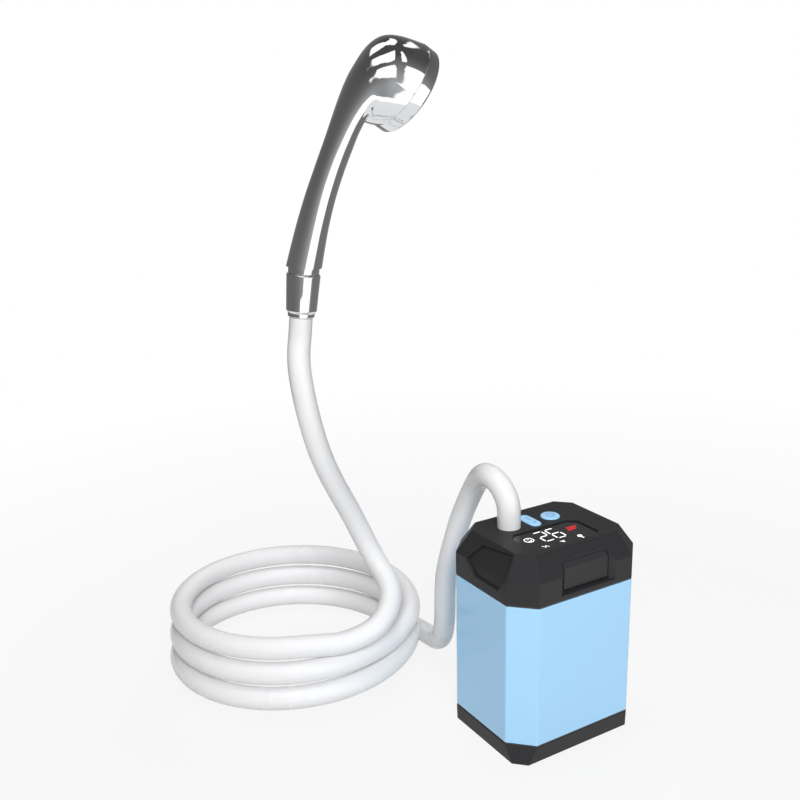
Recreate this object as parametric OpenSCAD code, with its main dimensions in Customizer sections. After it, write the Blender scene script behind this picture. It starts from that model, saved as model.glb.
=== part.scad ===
// Rechargeable portable shower: a battery pump unit, its hose and a chrome handset.
// Millimetres. The origin is the middle of the pump's footprint, on the floor.
// +Z is up and the pump's front, with display and charge flap, faces -Y.

/* [Pump housing] */
// Width across the front face
pump_w = 108; // [104:1:120]
// Depth from front to back
pump_d = 86; // [80:1:98]
// Cut across each upright corner
corner_cut = 15; // [12:0.5:17]
// Height of the base cover
base_h = 11; // [10.5:0.5:14]
// Height of the coloured sleeve
sleeve_h = 99; // [94:1:110]
// Height of the cap's upright band
band_h = 16; // [15:0.5:20]
// Height of the cap's sloping part
slope_h = 15; // [13:0.5:18]
// How far the cap's slope leans in
slope_run = 10; // [8:0.5:11]
// Cut across each corner of the flat top
top_cut = 9.5; // [8:0.5:11]
// Wall of the sleeve
sleeve_wall = 2.2; // [1.6:0.1:2.6]
// Wall of the cap's sides
cap_wall = 4; // [3.6:0.1:4.4]
// Thickness of the cap's flat top
top_wall = 3.5; // [3:0.1:4]
// Thickness of the two gaskets
gasket_t = 1; // [0.8:0.1:1.4]

/* [Top panel] */
// Outlet centre, left of the middle
outlet_x = -20; // [-22:0.5:-19.5]
// Outlet centre, behind the middle
outlet_y = 14; // [14:0.5:16]
// Width of the display panel
display_w = 56; // [50:1:57]
// Depth of the display panel
display_d = 30; // [28:1:31]
// Diameter of the round button
power_d = 13.5; // [11:0.5:14]
// Width of the pill button
mode_w = 8.5; // [8:0.5:9.5]
// Length of the pill button
mode_len = 20; // [16:0.5:21]
// Travel of the buttons
press = 0.8; // [0.5:0.1:1]

/* [Charge port] */
// Width of the port recess in the front face
recess_w = 45; // [38:1:48]
// Depth of the port recess
recess_depth = 5.6; // [5.4:0.1:6]
// Thickness of the flap
flap_t = 2.4; // [2:0.1:2.8]
// Diameter of the flap's pin
flap_pin_d = 1.2; // [1:0.1:1.4]

/* [Pump drive] */
// Diameter of the motor can
motor_d = 34; // [28:0.5:35]
// Length of the motor can
motor_len = 50; // [40:1:56]
// Diameter of the rotor shaft
shaft_d = 3; // [2:0.5:4]
// Diameter of the impeller
impeller_d = 34; // [28:0.5:35]
// Diameter of the pump chamber
chamber_d = 39; // [36:0.5:39]
// Bore of the water way
water_bore = 9.5; // [8:0.5:10]
// Diameter of a battery cell
cell_d = 18.2; // [16:0.1:18.4]
// Length of a battery cell
cell_len = 65; // [50:1:66]

/* [Hose] */
// Outside diameter of the hose
hose_d = 16; // [14:0.5:16]
// Mean radius of the coil
coil_r = 89.5; // [86:0.5:92]
// Rise of the coil in one loop
coil_rise = 17.2; // [17:0.1:18]

// Height of the hose's upper end
hose_end_h = 281; // [270:1:292]

/* [Handset] */
// Lean of the hose end from upright
hose_end_lean = 6; // [0:1:12]
// Turn of the head about the hose end
head_turn = 27; // [0:1:60]
// Diameter of the face ring
face_d = 62; // [58:0.5:68]
// Width of the face ring
ring_w = 10; // [9.5:0.5:12]
// Rise of the face's middle above the handle's foot
head_rise = 123.5; // [112:0.5:134]
// Reach of the face's middle in front of the handle's foot
head_reach = 60.5; // [56:0.5:66]
// Wall of the handset's shell
shell_wall = 2.2; // [1.8:0.1:2.6]
// Height of the swivel nut
nut_h = 29.5; // [27:0.5:32]
// Number of nozzle rings around the middle nozzle
nozzle_rings = 4; // [2:1:4]

/* [Hidden] */
$fn = 48;

// Colours, as photographed
black_abs = [0.17, 0.17, 0.18];
blue_abs = [0.66, 0.85, 1.0];
white_hose = [0.93, 0.93, 0.94];
chrome = [0.75, 0.76, 0.78];
dark_metal = [0.45, 0.46, 0.48];
green_board = [0.1, 0.35, 0.2];

// Clearances: a fixed seat, a part that moves, and a shaft in its bore
seat = 0.2;
free = 0.3;
running = 0.05;
// Overshoot of a cut past the face it opens
past = 1;

// Levels of the pump from the floor up
z_sleeve = base_h + gasket_t;
z_sleeve_top = z_sleeve + sleeve_h;
z_cap = z_sleeve_top + gasket_t;
z_fold = z_cap + band_h;
z_top = z_fold + slope_h;
lip_h = 8;
lip_wall = 2.4;
bay_inset = sleeve_wall + seat + lip_wall;
z_bulkhead = base_h + lip_h;
bulkhead_t = 3;
z_dry = z_bulkhead + bulkhead_t;
z_board = z_fold - 1;
board_t = 1.6;

// Base cover
base_floor = 3;
base_band = 1;
base_draft = 0.4;
foot_cut = corner_cut / 2;
notch_w = 2;
notch_h = 2;
notch_pitch = 4;
notch_span = pump_w / 2 - corner_cut - 6;
cup_x = pump_w / 2 - 16;
cup_y = pump_d / 2 - 16;
cup_bore_d = 6;
cup_bore_depth = 8;
cup_boss_d = 12;
screw_x = pump_w * 0.278;
screw_y = pump_d * 0.384;
screw_d = 3;
screw_head_d = 5.6;
screw_head_h = 2;
small_screw_d = 2.3;
small_screw_len = 7;
small_head_d = 4.6;
small_head_h = 1.6;
post_d = 8;
screen_t = 1.2;

// Battery
cell_pitch = 20;
cell_count = 4;
cell_r = cell_d / 2;
cell_y = -(pump_d / 2 - sleeve_wall - 2 - cell_r);
tray_wall = 1;
tray_floor = 2;
tray_h = 34;

// Pump drive
chamber_r = chamber_d / 2;
motor_x = 14;
clamp_wall = 1.6;
motor_y = cell_y + cell_r + seat + tray_wall + motor_d / 2 + clamp_wall + running;
volute_wall = 4.5;
volute_h = 14;
volute_floor = 2;
z_volute = z_bulkhead - volute_h;
duct_wall = 2.2;
duct_z = z_bulkhead - water_bore / 2 - duct_wall - seat;
tube_d = water_bore + 3.5;
tube_socket = 6;
seal_d = 12;
impeller_z = z_volute + volute_floor + 1.5;
impeller_hub_d = 8;
blade_count = 6;
blade_h = 5.5;
blade_t = 1.6;
disc_t = 1.6;
clamp_h = 8;
ear_t = 3;
ear_reach = motor_d / 2 + clamp_wall + 5.6;
z_clamp = z_dry + motor_len - clamp_h - 4;

// Top panel
panel_x = -3;
panel_y = -(pump_d / 2 - slope_run) + 4;
panel_back = panel_y + display_d;
panel_depth = 2.5;
panel_cut = 5;
lens_t = 1.5;
window_w = 44;
window_d = 20;
power_x = 14.5;
power_y = panel_back + 11.6;
mode_x = -2.4;
mode_y = panel_back + 2.7 + mode_len / 2;
button_proud = 0.9;
button_flange = 1.2;
button_flange_t = 1.2;
switch_w = 6;
switch_h = 3.5;
plunger_d = 3.2;
plunger_h = 1.4;
boss_x = pump_w * 0.315;
boss_y = pump_d * 0.28;
boss_d = 6;
spigot_flange_d = hose_d + 5;
spigot_flange_t = 2.4;
spigot_wall = 2;
z_spigot = z_board - 9;
spigot_socket = 10;

// Charge port: flared sides, hinge at the foot of the flap
recess_back = -pump_d / 2 + recess_depth;
port_flare = 3.5;
port_x = 1.5;
port_back_w = recess_w - 2 * port_flare;
sill_drop = 1.2;
z_sill = z_cap + 4.2;
barrel_d = flap_pin_d + 1.2;
hinge_y = recess_back - free - barrel_d / 2;
hinge_z = z_sill + free + barrel_d / 2;
flap_w = port_back_w - 4 * free;
port_wall = 3;
usb_w = 9;
usb_h = 3.2;
usb_len = 7.4;

// Grip pockets in the cap's sides: ends on the fold, below it and above it
pocket_depth = 2;
pocket_ends = [-(pump_d / 2 - corner_cut - 2), pump_d / 2 - corner_cut - 11];
pocket_low = [-19, 6];
pocket_high = [-22.5, 8];
pocket_drop = band_h - 6.5;
pocket_climb = [0.93, 0.7];

// Hose route: points of smooth curves, chosen to follow the photographed lie
hose_r = hose_d / 2;
lie_z = hose_r + 0.2;
coil_x = -113;
coil_y = 165;
coil_drift = [2.5, 3.6];
coil_start = 15;
coil_end = 965;
loop_rings = 24;
coil_sides = 6;
hose_sides = 10;
steps_per_span = 3;
hose_end = [-113, 127, hose_end_h];
lean_dir = -31;

// The coil climbs by its rise and drifts sideways a little in each loop
function coil_rim(a) = let (loops = (a - coil_start) / 360)
    [coil_x + coil_drift.x * loops + coil_r * cos(a), coil_y + coil_drift.y * loops + coil_r * sin(a),
     lie_z + coil_rise * loops];
function coil_dir(a) = [-sin(a), cos(a), 0];
coil_in = coil_rim(coil_start) - hose_d * coil_dir(coil_start);
coil_out = coil_rim(coil_end) + hose_d * coil_dir(coil_end);
end_dir = [sin(hose_end_lean) * cos(lean_dir), sin(hose_end_lean) * sin(lean_dir), cos(hose_end_lean)];
lead = 8;
outlet_top = [outlet_x, outlet_y, z_top];
// Three points in line at an end, so that the hose leaves it straight
function led(p, d) = [p, p + lead * d, p + 2 * lead * d];
function led_to(p, d) = [p - 2 * lead * d, p - lead * d, p];
arch_points = concat(led(outlet_top, [0, 0, 1]),
    [[-21, 21, 171], [-21.5, 39.5, 176], [-12.5, 62, 159.5], [-15, 79, 126.5], [-17.5, 84, 106],
     [-25.5, 85.5, 79.5], [-26.5, 82.5, 50], [-22.5, 93.5, 17.5], [-16.5, 124.5, 12]],
    led_to(coil_in, coil_dir(coil_start)));
riser_points = concat(led(coil_out, coil_dir(coil_end)),
    [for (p = [[-87, 73, 0.2135], [-65, 90, 0.274], [-67, 118, 0.324], [-82, 123, 0.47],
        [-109, 116, 0.63], [-120, 117, 0.822], [-118, 125, 0.9]]) [p.x, p.y, p.z * hose_end_h]],
    led_to(hose_end, end_dir));
coil_turn = coil_end - coil_start;
coil_rings = round(coil_turn / 360 * loop_rings);
coil_points = concat([coil_in], [for (i = [0:coil_rings]) coil_rim(coil_start + i * coil_turn / coil_rings)],
    [coil_out]);

// Handset, measured from the hose end along the nut's axis
tail_flange_d = 18.4;
tail_flange_z = 10;
tail_flange_t = 2.5;
nut_foot_d = 21;
nut_top_d = 23.2;
nut_lip_d = 18.4;
nut_lip_h = 3;
thread_d = 19;
washer_t = 1.8;
z_nipple = tail_flange_z + tail_flange_t + washer_t;
neck_d = 21.2;
neck_gap = 4.5;
z_handle = nut_h + neck_gap;
nipple_grip = 5;
foot_wall = 1;
nipple_bore = 13;
face_r = face_d / 2;
// Sections of the shell: share of the reach and of the rise, turn, half depth and half width by face radius
shell_shares = [[0, 0, 0, 0.392, 0.392], [0.068, 0.205, -2, 0.36, 0.359], [0.145, 0.3745, 4, 0.3345, 0.3265],
    [0.235, 0.527, 17, 0.318, 0.3145], [0.331, 0.673, 36, 0.333, 0.347], [0.428, 0.817, 58, 0.409, 0.44],
    [0.542, 0.94, 81, 0.601, 0.587], [0.706, 1.013, 99, 0.915, 0.7755], [1, 1, 117, 1, 1]];
shell_sections = [for (s = shell_shares)
    [s[0] * head_reach, z_handle + s[1] * head_rise, s[2], s[3] * face_r, s[4] * face_r]];
head_tilt = shell_sections[8][2];
shell_sides = 28;
shell_steps = 5;
lip_in = 1.6;
lip_reach = 1.5;
ring_bevel = 1.2;
plate_t = 2.6;
mat_t = 2;
mat_rim_h = 1.6;
mat_rim_w = 2;
diffuser_t = ring_w - lip_in - plate_t - mat_t - mat_rim_h - 0.1;
ring_wall = 3;
nozzle_pitch = 6;
nozzle_hole_d = 2.6;
nozzle_d = 2;
nozzle_out = 0.9;

// Outline of an oblong with its corners cut
function octagon(w, d, c) = [[-w / 2 + c, -d / 2], [w / 2 - c, -d / 2], [w / 2, -d / 2 + c],
    [w / 2, d / 2 - c], [w / 2 - c, d / 2], [-w / 2 + c, d / 2], [-w / 2, d / 2 - c], [-w / 2, -d / 2 + c]];
// Corner cut of an outline set in by t all round
function inset_cut(t) = corner_cut - t * (2 - sqrt(2));

// Upright prism on the pump's outline, set in by t
module pump_prism(t, h) {
    linear_extrude(h) polygon(octagon(pump_w - 2 * t, pump_d - 2 * t, inset_cut(t)));
}

// Ring between two insets of the pump's outline
module pump_ring(t_out, t_in, h) {
    difference() {
        pump_prism(t_out, h);
        translate([0, 0, -past]) pump_prism(t_in, h + 2 * past);
    }
}

// Prism along Y on a profile that is upright to rise and leans in to the top
module leaning_slab(half, half_top, rise, top, span) {
    rotate([90, 0, 0]) linear_extrude(span, center = true)
        polygon([[-half, 0], [half, 0], [half, rise], [half_top, top], [-half_top, top], [-half, rise]]);
}

// Block with cut corners whose upper part leans in on all eight sides
module leaning_block(t, cut, rise, top, run, cut_top, cut_side) {
    half_w = pump_w / 2 - t;
    half_d = pump_d / 2 - t;
    diag = (half_w + half_d - cut) / sqrt(2);
    diag_top = (half_w + half_d - 2 * run - cut_top) / sqrt(2);
    diag_side = (half_w + half_d - 2 * run - cut_side) / sqrt(2);
    span = 2 * (pump_w + pump_d);
    intersection() {
        leaning_slab(half_w, half_w - run, rise, top, span);
        rotate([0, 0, 90]) leaning_slab(half_d, half_d - run, rise, top, span);
        rotate([0, 0, 45]) leaning_slab(diag, diag_top, rise, top, span);
        rotate([0, 0, -45]) leaning_slab(diag, diag_side, rise, top, span);
    }
}

// Copies at the four corners of an oblong
module at_corners(x, y) {
    for (sx = [-1, 1], sy = [-1, 1]) translate([sx * x, sy * y, 0]) children();
}

module base_cover() {
    color(black_abs) difference() {
        union() {
            translate([0, 0, base_h]) mirror([0, 0, 1])
                leaning_block(0, corner_cut, base_band, base_h, base_draft, foot_cut,
                    corner_cut - base_draft);
            translate([0, 0, base_floor])
                pump_prism(sleeve_wall + seat, z_bulkhead - base_floor);
        }
        difference() {
            translate([0, 0, base_floor]) pump_prism(bay_inset, z_bulkhead);
            at_corners(cup_x, cup_y) cylinder(d = cup_boss_d, h = base_h - past);
            at_corners(screw_x, screw_y) cylinder(d = post_d, h = z_bulkhead);
        }
        at_corners(cup_x, cup_y) translate([0, 0, -past])
            cylinder(d = cup_bore_d, h = cup_bore_depth + past);
        at_corners(screw_x, screw_y) {
            translate([0, 0, -past]) cylinder(d = screw_d + 2 * running, h = z_bulkhead + 2 * past);
            translate([0, 0, -past]) cylinder(d = screw_head_d + 2 * seat, h = screw_head_h + past);
        }
        translate([motor_x, motor_y, -past]) cylinder(d = chamber_d, h = base_floor + 2 * past);
        for (x = [-notch_span:notch_pitch:notch_span])
            translate([x - notch_w / 2, pump_d / 2 - bay_inset - past / 2, -past])
                cube([notch_w, 2 * bay_inset + past, notch_h + past]);
    }
}

// Perforated plate over the intake, on the base cover's floor
module intake_screen() {
    color(dark_metal) translate([motor_x, motor_y, base_floor]) difference() {
        cylinder(d = chamber_d + 5, h = screen_t);
        for (ring = [1:3], i = [0:6 * ring - 1]) rotate([0, 0, i * 60 / ring])
            translate([ring * chamber_d / 8, 0, -past]) cylinder(d = 2.4, h = screen_t + 2 * past);
    }
}

module base_gasket() {
    color("dimgray") translate([0, 0, base_h]) pump_ring(2 * seat, sleeve_wall, gasket_t);
}

module body_sleeve() {
    color(blue_abs) translate([0, 0, z_sleeve]) pump_ring(0, sleeve_wall, sleeve_h);
}

module cap_gasket() {
    color("dimgray") translate([0, 0, z_sleeve_top]) pump_ring(2 * seat, sleeve_wall, gasket_t);
}

// One half of a grip pocket: a plate with one side on the fold line
module pocket_half(far, rise) {
    rotate([90, 0, 90]) translate([0, 0, -past]) linear_extrude(pocket_depth + past)
        polygon([[pocket_ends[0], 0], [pocket_ends[1], 0], [far[1], rise[1]], [far[0], rise[0]]]);
}

module grip_pocket() {
    translate([-pump_w / 2, 0, z_fold]) {
        pocket_half(pocket_low, [-pocket_drop, -pocket_drop]);
        rotate([0, atan(slope_run / slope_h), 0])
            pocket_half(pocket_high, pocket_climb * norm([slope_run, slope_h]));
    }
}

// Outline of the display panel, with its corners cut
module panel_outline(t) {
    translate([panel_x, panel_y + display_d / 2])
        polygon(octagon(display_w - 2 * t, display_d - 2 * t, panel_cut - t * (2 - sqrt(2))));
}

// Outline of the pill button, grown by t
module pill(t) {
    straight = mode_len - mode_w;
    for (side = [-1, 1]) translate([0, side * straight / 2]) circle(d = mode_w + 2 * t);
    translate([-mode_w / 2 - t, -straight / 2]) square([mode_w + 2 * t, straight]);
}

// Space of the charge port in the cap's front: sill, flared sides, back wall and open slope
module port_recess() {
    z_open = z_fold + recess_depth * slope_h / slope_run + past;
    front = -pump_d / 2;
    shelf = recess_back - free - flap_t;
    wide = recess_w / 2;
    narrow = port_back_w / 2;
    translate([port_x, 0, 0]) intersection() {
        rotate([90, 0, 90]) linear_extrude(recess_w + 2 * past, center = true)
            polygon([[front - past, z_sill - sill_drop], [front, z_sill - sill_drop], [recess_back, z_sill],
                [recess_back, z_open], [front - past, z_open]]);
        linear_extrude(z_open + past)
            polygon([[-wide, front - 2 * past], [wide, front - 2 * past], [wide, front], [narrow, shelf],
                [narrow, recess_back + past], [-narrow, recess_back + past], [-narrow, shelf],
                [-wide, front]]);
    }
}

module top_cap() {
    inner_top = slope_h - top_wall;
    inner_run = slope_run * inner_top / slope_h;
    inner_cut = inset_cut(cap_wall) - inner_run / 2;
    color(black_abs) difference() {
        union() {
            difference() {
                translate([0, 0, z_cap])
                    leaning_block(0, corner_cut, band_h, band_h + slope_h, slope_run, top_cut, top_cut);
                difference() {
                    translate([0, 0, z_cap - past])
                        leaning_block(cap_wall, inset_cut(cap_wall), band_h + past,
                            band_h + inner_top + past, inner_run, inner_cut, inner_cut);
                    translate([port_x - recess_w / 2 - port_wall, -pump_d / 2, z_cap])
                        cube([recess_w + 2 * port_wall, recess_depth + port_wall, band_h + slope_h]);
                }
            }
            translate([0, 0, z_cap - lip_h]) pump_ring(sleeve_wall + seat, bay_inset, lip_h);
            at_corners(boss_x, boss_y) translate([0, 0, z_board])
                cylinder(d = boss_d, h = z_top - top_wall - z_board + past);
        }
        port_recess();
        translate([port_x - usb_w / 2 - seat, recess_back - past, z_board - seat])
            cube([usb_w + 2 * seat, port_wall + 2 * past, usb_h + 2 * seat]);
        translate([port_x, hinge_y, hinge_z]) rotate([0, 90, 0])
            cylinder(d = flap_pin_d + 2 * running, h = flap_w + 8, center = true);
        grip_pocket();
        mirror([1, 0, 0]) grip_pocket();
        translate([0, 0, z_top - panel_depth]) linear_extrude(panel_depth + past) panel_outline(0);
        translate([panel_x - window_w / 2, panel_y + (display_d - window_d) / 2, z_top - top_wall - past])
            cube([window_w, window_d, top_wall + past]);
        translate([outlet_x, outlet_y, z_top - top_wall - past])
            cylinder(d = hose_d + 2 * seat, h = top_wall + 2 * past);
        translate([power_x, power_y, z_top - top_wall - past])
            cylinder(d = power_d + 2 * free, h = top_wall + 2 * past);
        translate([mode_x, mode_y, z_top - top_wall - past]) linear_extrude(top_wall + 2 * past) pill(free);
        at_corners(boss_x, boss_y) translate([0, 0, z_board - past])
            cylinder(d = small_screw_d + 2 * running, h = small_screw_len + 2 * past);
    }
}

module display_lens() {
    color([0.05, 0.05, 0.06]) translate([0, 0, z_top - panel_depth])
        linear_extrude(lens_t) panel_outline(seat);
}

// Stem of a button, from its flange down to its switch
module button_stem() {
    stem_z = z_board + switch_h + plunger_h + press + free;
    translate([0, 0, stem_z]) cylinder(d = 4, h = z_top - top_wall - free - button_flange_t - stem_z);
}

module power_button() {
    flange_z = z_top - top_wall - free - button_flange_t;
    color(blue_abs) translate([power_x, power_y, 0]) {
        button_stem();
        translate([0, 0, flange_z])
            cylinder(d = power_d + 2 * free + 2 * button_flange, h = button_flange_t);
        translate([0, 0, flange_z]) cylinder(d = power_d, h = z_top + button_proud - flange_z);
    }
}

module mode_button() {
    flange_z = z_top - top_wall - free - button_flange_t;
    color(blue_abs) translate([mode_x, mode_y, 0]) {
        button_stem();
        translate([0, 0, flange_z]) linear_extrude(button_flange_t) pill(free + button_flange);
        translate([0, 0, flange_z]) linear_extrude(z_top + button_proud - flange_z) pill(0);
    }
}

// Flap of the charge port, hinged at its foot
module charge_flap() {
    back = recess_back - free;
    front = back - flap_t;
    lean = slope_h / slope_run;
    z_front = z_fold + (front + pump_d / 2) * lean - 2 * free;
    z_back = z_fold + (back + pump_d / 2) * lean - 2 * free;
    color([0.22, 0.22, 0.23]) translate([port_x, 0, 0]) difference() {
        union() {
            rotate([90, 0, 90]) linear_extrude(flap_w, center = true)
                polygon([[back, hinge_z], [front, hinge_z], [front, z_front], [back, z_back]]);
            translate([0, hinge_y, hinge_z]) rotate([0, 90, 0])
                cylinder(d = barrel_d, h = flap_w, center = true);
        }
        translate([0, hinge_y, hinge_z]) rotate([0, 90, 0])
            cylinder(d = flap_pin_d + 2 * running, h = flap_w + 2 * past, center = true);
    }
}

module flap_pin() {
    color("silver") translate([port_x, hinge_y, hinge_z]) rotate([0, 90, 0])
        cylinder(d = flap_pin_d, h = flap_w + 7, center = true);
}

// Tube that carries the hose, held under the cap's top by its flange
module outlet_spigot() {
    z_flange = z_top - top_wall - spigot_flange_t;
    color("gray") translate([outlet_x, outlet_y, 0]) difference() {
        union() {
            translate([0, 0, z_spigot])
                cylinder(d = tube_d + 2 * spigot_wall, h = z_top - z_spigot - top_wall);
            translate([0, 0, z_flange]) cylinder(d = spigot_flange_d, h = spigot_flange_t);
            translate([0, 0, z_flange]) cylinder(d = hose_d, h = z_top - z_flange);
        }
        translate([0, 0, z_spigot - past]) cylinder(d = water_bore, h = z_top - z_spigot + 2 * past);
        translate([0, 0, z_spigot - past]) cylinder(d = tube_d + 2 * running, h = spigot_socket + past);
    }
}

module base_screws() {
    color("silver") at_corners(screw_x, screw_y) {
        translate([0, 0, seat]) cylinder(d = screw_head_d, h = screw_head_h - seat);
        translate([0, 0, seat]) cylinder(d = screw_d, h = z_dry - 2 * seat);
    }
}

// Copies on both sides of the motor, at the clamp's ears
module at_ears() {
    for (side = [-1, 1]) translate([motor_x + side * ear_reach, motor_y, 0]) children();
}

// Divider between the wet bay and the dry bay, with posts for the motor clamp
module bulkhead() {
    color([0.3, 0.3, 0.32]) difference() {
        union() {
            translate([0, 0, z_bulkhead]) pump_prism(sleeve_wall + seat, bulkhead_t);
            at_ears() translate([0, 0, z_dry]) cylinder(d = post_d, h = z_clamp - z_dry);
        }
        translate([motor_x, motor_y, z_bulkhead - past]) cylinder(d = seal_d, h = bulkhead_t + 2 * past);
        translate([outlet_x, outlet_y, z_bulkhead - past])
            cylinder(d = tube_d + 2 * seat, h = bulkhead_t + 2 * past);
        at_corners(screw_x, screw_y) translate([0, 0, z_bulkhead - past])
            cylinder(d = screw_d + 2 * running, h = bulkhead_t + 2 * past);
        at_ears() translate([0, 0, z_clamp - small_screw_len - past])
            cylinder(d = small_screw_d + 2 * running, h = small_screw_len + 2 * past);
    }
}

// Pump chamber, open at the top under the bulkhead, with a duct that turns up to the delivery tube
module volute() {
    duct_len = motor_x - outlet_x;
    color([0.35, 0.36, 0.38]) difference() {
        union() {
            translate([motor_x, motor_y, z_volute]) cylinder(d = chamber_d + 2 * volute_wall, h = volute_h);
            translate([outlet_x, outlet_y, duct_z]) rotate([0, 90, 0])
                cylinder(d = water_bore + 2 * duct_wall, h = duct_len);
            translate([outlet_x, outlet_y, duct_z - water_bore / 2 - duct_wall])
                cylinder(d = tube_d + 2 * duct_wall, h = z_bulkhead - duct_z + water_bore / 2 + duct_wall);
        }
        translate([motor_x, motor_y, z_volute + volute_floor]) cylinder(d = chamber_d, h = volute_h);
        translate([motor_x, motor_y, z_volute - past]) cylinder(d = chamber_d * 0.4, h = volute_h);
        translate([outlet_x, outlet_y, duct_z]) rotate([0, 90, 0]) cylinder(d = water_bore, h = duct_len);
        translate([outlet_x, outlet_y, duct_z - water_bore / 2]) cylinder(d = water_bore, h = volute_h);
        translate([outlet_x, outlet_y, z_bulkhead - tube_socket])
            cylinder(d = tube_d + 2 * running, h = volute_h);
    }
}

// Disc with curved blades below it
module impeller() {
    blade_r = impeller_d / 3;
    color("white") translate([motor_x, motor_y, impeller_z]) difference() {
        union() {
            cylinder(d = impeller_hub_d, h = blade_h + disc_t);
            translate([0, 0, blade_h]) cylinder(d = impeller_d, h = disc_t);
            intersection() {
                cylinder(d = impeller_d, h = blade_h);
                for (i = [0:blade_count - 1]) rotate([0, 0, i * 360 / blade_count])
                    translate([blade_r, 0, 0]) difference() {
                        cylinder(r = blade_r, h = blade_h);
                        translate([0, 0, -past]) cylinder(r = blade_r - blade_t, h = blade_h + 2 * past);
                        translate([-2 * blade_r, 0, -past])
                            cube([4 * blade_r, 2 * blade_r, blade_h + 2 * past]);
                    }
            }
        }
        translate([0, 0, -past]) cylinder(d = shaft_d, h = blade_h + disc_t + 2 * past);
    }
}

module rotor_shaft() {
    color("silver") translate([motor_x, motor_y, impeller_z])
        cylinder(d = shaft_d, h = z_dry + motor_len + 3 - impeller_z);
}

module shaft_seal() {
    color("dimgray") translate([motor_x, motor_y, z_bulkhead]) difference() {
        cylinder(d = seal_d - 2 * running, h = bulkhead_t);
        translate([0, 0, -past]) cylinder(d = shaft_d + 2 * running, h = bulkhead_t + 2 * past);
    }
}

module motor() {
    color(dark_metal) translate([motor_x, motor_y, z_dry]) difference() {
        union() {
            cylinder(d = motor_d, h = motor_len - 3);
            translate([0, 0, motor_len - 3]) cylinder(d = motor_d - 8, h = 3);
        }
        translate([0, 0, -past]) cylinder(d = shaft_d + 2 * running, h = motor_len + 2 * past);
    }
}

module motor_clamp() {
    color([0.3, 0.3, 0.32]) translate([motor_x, motor_y, z_clamp]) difference() {
        union() {
            cylinder(d = motor_d + 2 * clamp_wall, h = clamp_h);
            translate([-ear_reach, -post_d / 2, 0]) cube([2 * ear_reach, post_d, ear_t]);
            for (side = [-1, 1]) translate([side * ear_reach, 0, 0]) cylinder(d = post_d, h = ear_t);
        }
        translate([0, 0, -past]) cylinder(d = motor_d + 2 * running, h = clamp_h + 2 * past);
        for (side = [-1, 1]) translate([side * ear_reach, 0, -past])
            cylinder(d = small_screw_d + seat, h = ear_t + 2 * past);
    }
}

module clamp_screws() {
    color("silver") at_ears() translate([0, 0, z_clamp + ear_t]) {
        cylinder(d = small_head_d, h = small_head_h);
        translate([0, 0, -ear_t - small_screw_len]) cylinder(d = small_screw_d, h = ear_t + small_screw_len);
    }
}

module delivery_tube() {
    z_foot = z_bulkhead - tube_socket;
    color("lightgray") translate([outlet_x, outlet_y, z_foot]) difference() {
        cylinder(d = tube_d, h = z_spigot + spigot_socket - z_foot);
        translate([0, 0, -past]) cylinder(d = water_bore, h = z_top);
    }
}

// Copies along the row of battery cells
module at_cells() {
    for (i = [0:cell_count - 1]) translate([(i - (cell_count - 1) / 2) * cell_pitch, cell_y, 0]) children();
}

module battery_tray() {
    half_d = cell_r + seat + tray_wall;
    row_w = (cell_count - 1) * cell_pitch + 2 * half_d;
    color([0.25, 0.25, 0.27]) difference() {
        intersection() {
            translate([-row_w / 2, cell_y - half_d, z_dry]) cube([row_w, 2 * half_d, tray_h]);
            translate([0, 0, z_dry]) pump_prism(sleeve_wall + 2 * seat, tray_h);
        }
        at_cells() translate([0, 0, z_dry + tray_floor]) cylinder(d = cell_d + 2 * running, h = tray_h);
    }
}

module battery_cells() {
    color("seagreen") at_cells() translate([0, 0, z_dry + tray_floor]) {
        cylinder(d = cell_d, h = cell_len);
        translate([0, 0, cell_len]) cylinder(d = 6, h = 1.2);
    }
}

module control_board() {
    edge = cap_wall + 1;
    color(green_board) translate([0, 0, z_board - board_t]) difference() {
        intersection() {
            pump_prism(edge, board_t);
            translate([-pump_w / 2, recess_back + port_wall + seat, 0]) cube([pump_w, pump_d, board_t]);
        }
        translate([outlet_x, outlet_y, -past])
            cylinder(d = tube_d + 2 * spigot_wall + 2 * past, h = board_t + 2 * past);
        at_corners(boss_x, boss_y) translate([0, 0, -past])
            cylinder(d = small_screw_d + seat, h = board_t + 2 * past);
    }
}

module board_screws() {
    color("silver") at_corners(boss_x, boss_y) translate([0, 0, z_board - board_t]) {
        translate([0, 0, -small_head_h]) cylinder(d = small_head_d, h = small_head_h);
        cylinder(d = small_screw_d, h = board_t + small_screw_len);
    }
}

module display_module() {
    z_lens = z_top - panel_depth;
    window_y = panel_y + (display_d - window_d) / 2;
    color([0.08, 0.08, 0.09]) translate([panel_x - window_w / 2 + seat, window_y + seat, z_board])
        cube([window_w - 2 * seat, window_d - 2 * seat, z_lens - z_board]);
}

module usb_socket() {
    shell = 0.5;
    tongue_t = 0.7;
    color("silver") translate([port_x - usb_w / 2, recess_back, z_board]) {
        difference() {
            cube([usb_w, usb_len, usb_h]);
            translate([shell, -past, shell])
                cube([usb_w - 2 * shell, usb_len - shell + past, usb_h - 2 * shell]);
        }
        translate([3 * shell, 2 * shell, (usb_h - tongue_t) / 2])
            cube([usb_w - 6 * shell, usb_len - 2 * shell, tongue_t]);
    }
}

module key_switches() {
    color([0.15, 0.15, 0.16])
        for (p = [[power_x, power_y], [mode_x, mode_y]]) translate([p.x, p.y, z_board]) {
            translate([-switch_w / 2, -switch_w / 2, 0]) cube([switch_w, switch_w, switch_h]);
            cylinder(d = plunger_d, h = switch_h + plunger_h);
        }
}

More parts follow.
